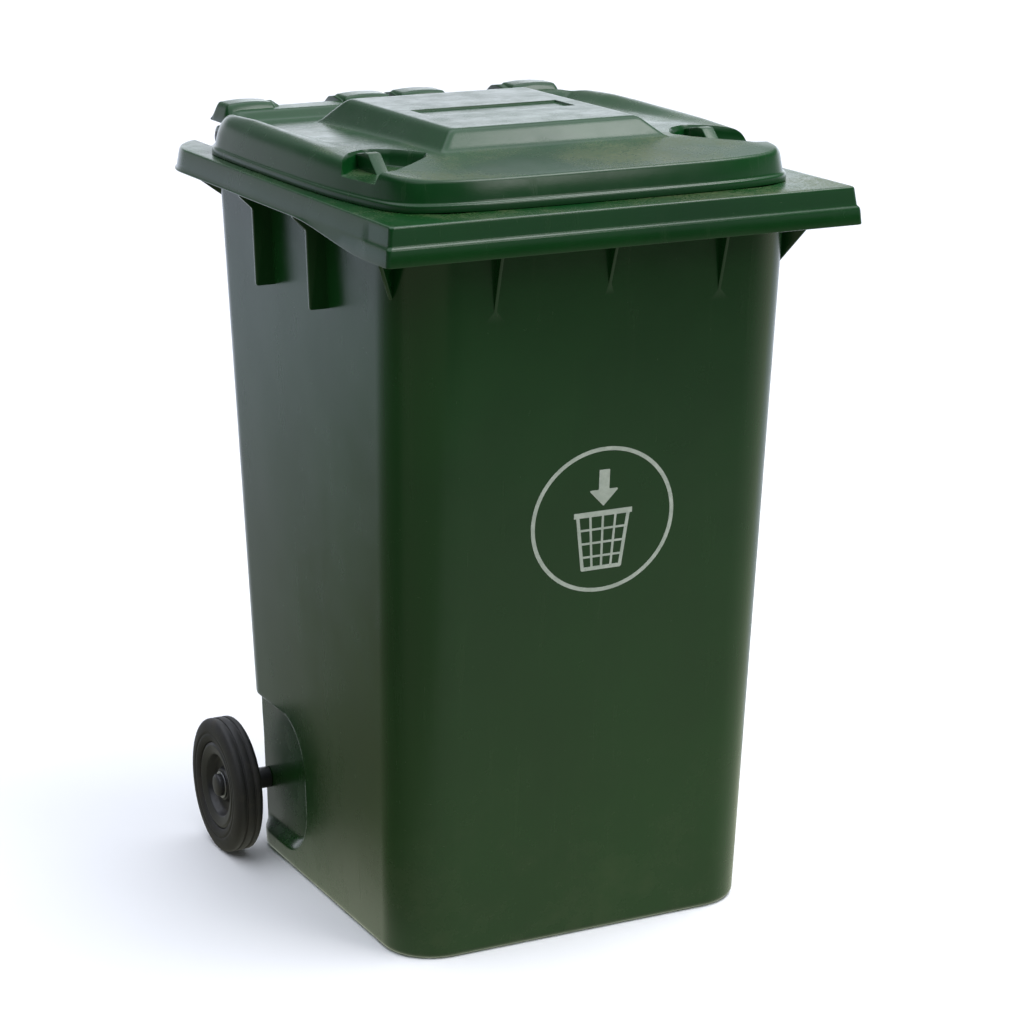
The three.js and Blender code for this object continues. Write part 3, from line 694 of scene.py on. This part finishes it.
BZ0 = -66.0
strokes = [[(-BW - 5, BZ0 + BH - 1), (BW + 5, BZ0 + BH - 1), (BW + 5, BZ0 + BH + 6), (-BW - 5, BZ0 + BH + 6)],
           [(-BB - 1, BZ0), (BB + 1, BZ0), (BB + 1, BZ0 + 5), (-BB - 1, BZ0 + 5)]]
for k in (1, 2, 3):
    t = k / 4; strokes.append([(-bx(t), BZ0 + BH * t - 1.2), (bx(t), BZ0 + BH * t - 1.2), (bx(t), BZ0 + BH * t + 1.6), (-bx(t), BZ0 + BH * t + 1.6)])
for u in (-1, -0.5, 0, 0.5, 1):
    w = 2.2 if abs(u) == 1 else 1.5
    a, b = u * BB, u * BW
    strokes.append([(a - w, BZ0 + 1), (a + w, BZ0 + 1), (b + w, BZ0 + BH + 1), (b - w, BZ0 + BH + 1)])
for st in strokes:
    add(sign, sign_prism(st, 0.5, 3))
arrow = [(-7, 66), (7, 66), (7, 40), (20, 40), (0, 18), (-20, 40), (-7, 40)]
add(sign, sign_prism(arrow, 1.2, 4))
sign.name = 'front_sign'
soft(sign, 30)


# ------------------------------------------------------------------ materials
def srgb(r, g, b):
    f = lambda c: (c / 255 / 12.92) if c / 255 <= 0.04045 else ((c / 255 + 0.055) / 1.055) ** 2.4
    return (f(r), f(g), f(b), 1.0)


class Mat:
    def __init__(self, name):
        self.m = bpy.data.materials.new(name); self.m.use_nodes = True
        self.t = self.m.node_tree; self.t.nodes.clear()
        self.out = self.n('ShaderNodeOutputMaterial'); self.p = self.n('ShaderNodeBsdfPrincipled')
        self.l(self.p.outputs[0], self.out.inputs[0])
        self.co = self.n('ShaderNodeTexCoord').outputs['Object']

    def n(self, kind, **kw):
        k = self.t.nodes.new(kind)
        for a, b in kw.items(): setattr(k, a, b)
        return k

    def l(self, a, b): self.t.links.new(a, b)

    def noise(self, scale, detail=3.0, rough=0.5, stretch=None, dist=0.0):
        n = self.n('ShaderNodeTexNoise'); n.inputs['Scale'].default_value = scale
        n.inputs['Detail'].default_value = detail; n.inputs['Roughness'].default_value = rough
        n.inputs['Distortion'].default_value = dist
        src = self.co
        if stretch:
            mp = self.n('ShaderNodeMapping'); mp.inputs['Scale'].default_value = stretch
            self.l(self.co, mp.inputs['Vector']); src = mp.outputs[0]
        self.l(src, n.inputs['Vector'])
        return n.outputs['Fac']

    def ramp(self, v, a, b, lo=0.0, hi=1.0):
        r = self.n('ShaderNodeMapRange', interpolation_type='SMOOTHSTEP')
        self.l(v, r.inputs['Value'])
        for k, x in zip(('From Min', 'From Max', 'To Min', 'To Max'), (a, b, lo, hi)): r.inputs[k].default_value = x
        return r.outputs[0]

    def math(self, op, a, b=None, clamp=False):
        m = self.n('ShaderNodeMath', operation=op, use_clamp=clamp)
        for i, x in enumerate((a, b)):
            if x is None: continue
            if isinstance(x, (int, float)): m.inputs[i].default_value = x
            else: self.l(x, m.inputs[i])
        return m.outputs[0]

    def mix(self, f, a, b, mode='MIX'):
        m = self.n('ShaderNodeMix', data_type='RGBA', blend_type=mode)
        for k, x in ((0, f), (6, a), (7, b)):
            if isinstance(x, (int, float)): m.inputs[k].default_value = x
            elif isinstance(x, tuple): m.inputs[k].default_value = x
            else: self.l(x, m.inputs[k])
        return m.outputs[2]

    def bump(self, h, dist, strength=1.0, normal=None):
        b = self.n('ShaderNodeBump'); b.inputs['Strength'].default_value = strength; b.inputs['Distance'].default_value = dist
        self.l(h, b.inputs['Height'])
        if normal is not None: self.l(normal, b.inputs['Normal'])
        return b.outputs[0]

    def axes(self):
        s = self.n('ShaderNodeSeparateXYZ'); self.l(self.co, s.inputs[0]); return s.outputs

    def normal(self):
        g = self.n('ShaderNodeNewGeometry'); s = self.n('ShaderNodeSeparateXYZ'); self.l(g.outputs['Normal'], s.inputs[0]); return s.outputs


def green():
    M = Mat('green_plastic'); p = M.p
    x, y, z = M.axes(); nx, ny, nz = M.normal()
    big = M.noise(2.6, 4, 0.55); mid = M.noise(22, 5, 0.6); fine = M.noise(420, 3, 0.6)
    col = M.mix(M.ramp(big, 0.3, 0.72), srgb(6, 47, 17), srgb(9, 57, 20))
    col = M.mix(M.ramp(mid, 0.5, 0.8, 0, 0.06), col, srgb(24, 58, 22))
    # painted reflection of the bright floor close by: lighter and yellower towards the foot of the walls
    col = M.mix(M.ramp(z, 0.72, 0.05, 0.0, 0.26), col, srgb(46, 70, 32))
    # dust lying on faces that look up, thicker in patches
    up = M.ramp(nz, 0.80, 0.995)
    patch = M.ramp(M.noise(7, 6, 0.65), 0.40, 0.68)
    front = M.ramp(y, 0.02, -0.27)
    grit = M.ramp(M.noise(300, 2, 0.5), 0.35, 0.7)
    heavy = M.math('MULTIPLY', M.math('ADD', 0.25, M.math('MULTIPLY', front, 0.75)), patch)
    flat = M.math('MULTIPLY', heavy, M.ramp(z, 0.996, 0.985, 0.22, 1.0))
    dust = M.math('MULTIPLY', up, M.math('MULTIPLY', flat, M.math('ADD', M.math('MULTIPLY', grit, 0.30), 0.10)), clamp=True)
    col = M.mix(dust, col, srgb(112, 112, 80))
    # splashed dirt rising from the ground
    low = M.math('MULTIPLY', M.ramp(z, 0.30, 0.0), M.ramp(M.noise(14, 6, 0.7), 0.42, 0.78))
    col = M.mix(M.math('MULTIPLY', low, 0.18), col, srgb(88, 92, 70))
    # vertical streaks on the walls
    st = M.ramp(M.noise(1.0, 4, 0.6, stretch=(55, 55, 1.5), dist=0.25), 0.55, 0.8)
    wallm = M.math('SUBTRACT', 1.0, up)
    streak = M.math('MULTIPLY', st, wallm)
    col = M.mix(M.math('MULTIPLY', streak, 0.06), col, srgb(70, 86, 60))
    # short pale scuffs
    sc = M.ramp(M.noise(1.0, 2, 0.4, stretch=(130, 130, 900), dist=1.5), 0.765, 0.80)
    sc = M.math('MULTIPLY', sc, M.ramp(M.noise(7, 3, 0.6), 0.54, 0.66))
    col = M.mix(M.math('MULTIPLY', sc, 0.5), col, srgb(120, 134, 108))
    # fine pale specks
    sp = M.ramp(fine, 0.70, 0.78)
    col = M.mix(M.math('MULTIPLY', sp, 0.06), col, srgb(110, 122, 94))
    M.l(col, p.inputs['Base Color'])
    r = M.math('ADD', M.ramp(mid, 0.3, 0.75, 0.20, 0.28), M.math('MULTIPLY', dust, 0.6))
    r = M.math('ADD', r, M.math('MULTIPLY', streak, 0.07))
    r = M.math('ADD', r, M.math('MULTIPLY', low, 0.18))
    r = M.math('ADD', r, M.math('MULTIPLY', sc, 0.25), clamp=True)
    M.l(r, p.inputs['Roughness'])
    p.inputs['Specular IOR Level'].default_value = 0.26
    wav = M.bump(M.noise(5.0, 2, 0.4), 0.0016, 0.6)
    peel = M.bump(M.noise(170, 2, 0.5), 0.00010, 0.5, wav)
    b = M.bump(fine, 0.00004, 0.5, peel)
    M.l(b, p.inputs['Normal'])
    return M.m


def rubber():
    M = Mat('tyre_rubber'); p = M.p
    a = M.noise(16, 5, 0.6); f = M.noise(500, 3, 0.6)
    col = M.mix(M.ramp(a, 0.3, 0.7), srgb(24, 24, 24), srgb(38, 38, 37))
    x, y, z = M.axes()
    d = M.math('MULTIPLY', M.ramp(M.noise(38, 6, 0.7), 0.45, 0.78), 0.40)
    col = M.mix(d, col, srgb(78, 72, 60))
    col = M.mix(M.math('MULTIPLY', M.ramp(f, 0.62, 0.8), 0.35), col, srgb(118, 112, 100))
    M.l(col, p.inputs['Base Color'])
    M.l(M.math('ADD', M.ramp(a, 0.3, 0.7, 0.55, 0.7), M.math('MULTIPLY', d, 0.3), clamp=True), p.inputs['Roughness'])
    p.inputs['Specular IOR Level'].default_value = 0.45
    b = M.bump(M.noise(60, 4, 0.6), 0.0006, 0.5); M.l(M.bump(f, 0.00015, 0.6, b), p.inputs['Normal'])
    return M.m


def black():
    M = Mat('black_plastic'); p = M.p
    a = M.noise(30, 5, 0.6); f = M.noise(600, 2, 0.5)
    col = M.mix(M.ramp(a, 0.35, 0.7), srgb(26, 27, 28), srgb(40, 41, 42))
    d = M.math('MULTIPLY', M.ramp(M.noise(45, 6, 0.7), 0.5, 0.8), 0.4)
    col = M.mix(d, col, srgb(92, 84, 70))
    M.l(col, p.inputs['Base Color'])
    M.l(M.math('ADD', M.ramp(a, 0.3, 0.7, 0.38, 0.5), M.math('MULTIPLY', d, 0.5), clamp=True), p.inputs['Roughness'])
    M.l(M.bump(f, 0.0001, 0.6), p.inputs['Normal'])
    return M.m


def zinc():
    M = Mat('zinc_steel'); p = M.p
    a = M.noise(40, 5, 0.65); v = M.n('ShaderNodeTexVoronoi'); v.inputs['Scale'].default_value = 160
    M.l(M.co, v.inputs['Vector'])
    col = M.mix(M.ramp(a, 0.3, 0.7), srgb(150, 152, 155), srgb(178, 179, 180))
    col = M.mix(M.math('MULTIPLY', v.outputs['Distance'], 0.25), col, srgb(120, 122, 126))
    rust = M.math('MULTIPLY', M.ramp(M.noise(28, 6, 0.7), 0.6, 0.78), 0.5)
    col = M.mix(rust, col, srgb(120, 82, 52))
    M.l(col, p.inputs['Base Color'])
    M.l(M.math('SUBTRACT', 0.95, M.math('MULTIPLY', rust, 1.4), clamp=True), p.inputs['Metallic'])
    M.l(M.math('ADD', M.ramp(a, 0.3, 0.7, 0.3, 0.45), M.math('MULTIPLY', rust, 0.5), clamp=True), p.inputs['Roughness'])
    M.l(M.bump(M.noise(1.0, 3, 0.5, stretch=(700, 60, 60)), 0.00012, 0.5), p.inputs['Normal'])
    return M.m


def paint():
    M = Mat('sign_paint'); p = M.p
    a = M.noise(60, 5, 0.65); f = M.noise(700, 2, 0.5)
    col = M.mix(M.ramp(a, 0.35, 0.7), srgb(168, 178, 168), srgb(188, 196, 187))
    wear = M.math('MULTIPLY', M.ramp(M.noise(180, 4, 0.7), 0.60, 0.72), 0.55)
    col = M.mix(wear, col, srgb(120, 140, 116))
    M.l(col, p.inputs['Base Color'])
    M.l(M.ramp(a, 0.3, 0.7, 0.38, 0.55), p.inputs['Roughness'])
    p.inputs['Specular IOR Level'].default_value = 0.3
    M.l(M.bump(f, 0.00005, 0.5), p.inputs['Normal'])
    return M.m


GREEN, RUBBER, BLACK, ZINC, PAINT = green(), rubber(), black(), zinc(), paint()


def finish_piece(o, mat, body, node=None):
    o.data.materials.clear(); o.data.materials.append(mat)
    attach(o, body)
    if node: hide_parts(node)


finish_piece(tub_o, GREEN, 'bin', 'tub')
finish_piece(lid_o, GREEN, 'lid', 'lid')
finish_piece(sign, PAINT, 'bin')
BODY = {}
for bn, names in frame['record']['behaviour']['bodies'].items():
    for nn in (names if isinstance(names, list) else names.get('nodes', [])): BODY[nn] = bn
for k, o in PARTS.items():
    mat, sl = (RUBBER, 'tyre_rubber') if k.startswith('tyre') else (ZINC, 'zinc_steel') if (k == 'axle' or 'washer' in k) else (BLACK, 'black_plastic')
    finish_piece(o, mat, BODY.get(k, 'bin'), k)

# ------------------------------------------------------------------ stage, light, camera
fm = Mat('floor'); fm.p.inputs['Roughness'].default_value = 0.75
fm.l(fm.mix(fm.ramp(fm.noise(1.2, 3, 0.5), 0.3, 0.7), (0.80, 0.80, 0.80, 1), (0.83, 0.83, 0.83, 1)), fm.p.inputs['Base Color'])
fm.p.inputs['Specular IOR Level'].default_value = 0.1
# what the glossy plastic mirrors and is lit by: for every ray but the camera's the floor glows with this painted light,
# dimmer far in front and close beside the object, cooler behind it; the camera sees the plain pale floor
fx, fy, _z = fm.axes()
near = fm.mix(fm.ramp(fy, -3.1, -1.3), (0.12, 0.14, 0.09, 1), (1.00, 1.02, 0.84, 1))
near = fm.mix(fm.ramp(fx, -0.2, -0.7), near, (0.62, 0.64, 0.46, 1))
side = fm.math('ADD', fx, fm.math('MULTIPLY', fy, 0.36))
rear_a = fm.mix(fm.ramp(fy, 0.4, 4.2), (0.26, 0.26, 0.18, 1), (0.66, 0.74, 0.86, 1))
rear_b = fm.mix(fm.ramp(fy, 0.2, 3.6), (0.92, 0.98, 1.02, 1), (1.26, 1.36, 1.58, 1))
rear = fm.mix(fm.ramp(side, -0.34, 0.02), rear_a, rear_b)
painted_floor_glow = fm.mix(fm.math('MAXIMUM', fm.ramp(fy, -0.1, 0.3), fm.math('MULTIPLY', fm.ramp(fx, -0.24, -0.42), fm.ramp(fy, -0.5, 0.0))), near, rear)
# emission of the painted floor glow, full in reflections and weaker in bounce light
em = fm.n('ShaderNodeEmission'); fm.l(painted_floor_glow, em.inputs[0])
lp = fm.n('ShaderNodeLightPath'); ms = fm.n('ShaderNodeMixShader')
fm.l(fm.ramp(lp.outputs['Is Diffuse Ray'], 0.0, 1.0, 1.0, 0.45), em.inputs[1])
fm.l(fm.math('SUBTRACT', 1.0, lp.outputs['Is Camera Ray']), ms.inputs[0]); fm.l(fm.p.outputs[0], ms.inputs[1]); fm.l(em.outputs[0], ms.inputs[2])
fm.l(ms.outputs[0], fm.out.inputs[0])
S = 30.0
floor = put('floor', [(-S, -S, 0), (S, -S, 0), (S, S, 0), (-S, S, 0)], [[0, 1, 2, 3]], mm=False)
floor.data.materials.append(fm.m)

world = bpy.data.worlds.new('w'); bpy.context.scene.world = world; world.use_nodes = True
wt = world.node_tree; bg = wt.nodes['Background']


def wn(kind, **kw):
    k = wt.nodes.new(kind)
    for a_, b_ in kw.items(): setattr(k, a_, b_)
    return k


def wmap(src, lo, hi, a_, b_):
    r = wn('ShaderNodeMapRange', interpolation_type='SMOOTHSTEP'); wt.links.new(src, r.inputs['Value'])
    for k, x in zip(('From Min', 'From Max', 'To Min', 'To Max'), (lo, hi, a_, b_)): r.inputs[k].default_value = x
    return r.outputs[0]


def wmul(a_, b_):
    m = wn('ShaderNodeMath', operation='MULTIPLY'); wt.links.new(a_, m.inputs[0]); wt.links.new(b_, m.inputs[1]); return m.outputs[0]


# soft studio sky: bright behind the object, dimmer in front of it
tc = wn('ShaderNodeTexCoord'); sx = wn('ShaderNodeSeparateXYZ'); wt.links.new(tc.outputs['Generated'], sx.inputs[0])
back = wmul(wmap(sx.outputs['Y'], -0.9, 0.75, 0.40, 1.0), wmap(sx.outputs['X'], -0.5, 0.25, 0.62, 1.95))
back = wmul(back, wmap(sx.outputs['Z'], 0.15, 0.28, 1.0, 0.22))
zen = wmap(sx.outputs['Z'], 0.50, 0.85, 0.0, 2.1)
tot = wn('ShaderNodeMath', operation='ADD'); wt.links.new(back, tot.inputs[0]); wt.links.new(zen, tot.inputs[1])
wt.links.new(tot.outputs[0], bg.inputs[1]); bg.inputs[0].default_value = (0.95, 0.99, 1.09, 1)


def area(name, loc, target, size, power, col=(1, 1, 1)):
    d = bpy.data.lights.new(name, 'AREA'); d.shape = 'RECTANGLE'; d.size, d.size_y = size; d.energy = power; d.color = col
    o = bpy.data.objects.new(name, d); bpy.context.scene.collection.objects.link(o)
    o.location = loc; o.rotation_mode = 'QUATERNION'
    o.rotation_quaternion = (Vector(target) - Vector(loc)).to_track_quat('-Z', 'Y')
    return o


area('top', (1.15, -0.9, 3.4), (0.2, 0, 0.4), (2.2, 1.1), 68)
area('front', (1.4, -3.6, 3.0), (0, 0, 0.7), (1.2, 1.2), 30)

cd = bpy.data.cameras.new('cam'); cam = bpy.data.objects.new('cam', cd); bpy.context.scene.collection.objects.link(cam)
cd.sensor_width = 36; cd.sensor_fit = 'HORIZONTAL'; cd.lens = 107.389; cd.clip_end = 200; cd.dof.use_dof = False
fw = Vector((0.42743217, 0.8646761, -0.2638882)).normalized()
rt = fw.cross(Vector((0, 0, 1))).normalized(); up = rt.cross(fw)
ro = math.radians(-0.2422)
r_ = rt * math.cos(ro) + up * math.sin(ro); u_ = -rt * math.sin(ro) + up * math.cos(ro)
M4 = Matrix(((r_.x, u_.x, -fw.x, -1.644922), (r_.y, u_.y, -fw.y, -3.387842), (r_.z, u_.z, -fw.z, 1.511587), (0, 0, 0, 1)))
cam.matrix_world = M4
bpy.context.scene.camera = cam
bpy.context.scene.view_settings.view_transform = 'Standard'

for me in list(bpy.data.meshes):
    if me.users == 0: bpy.data.meshes.remove(me)
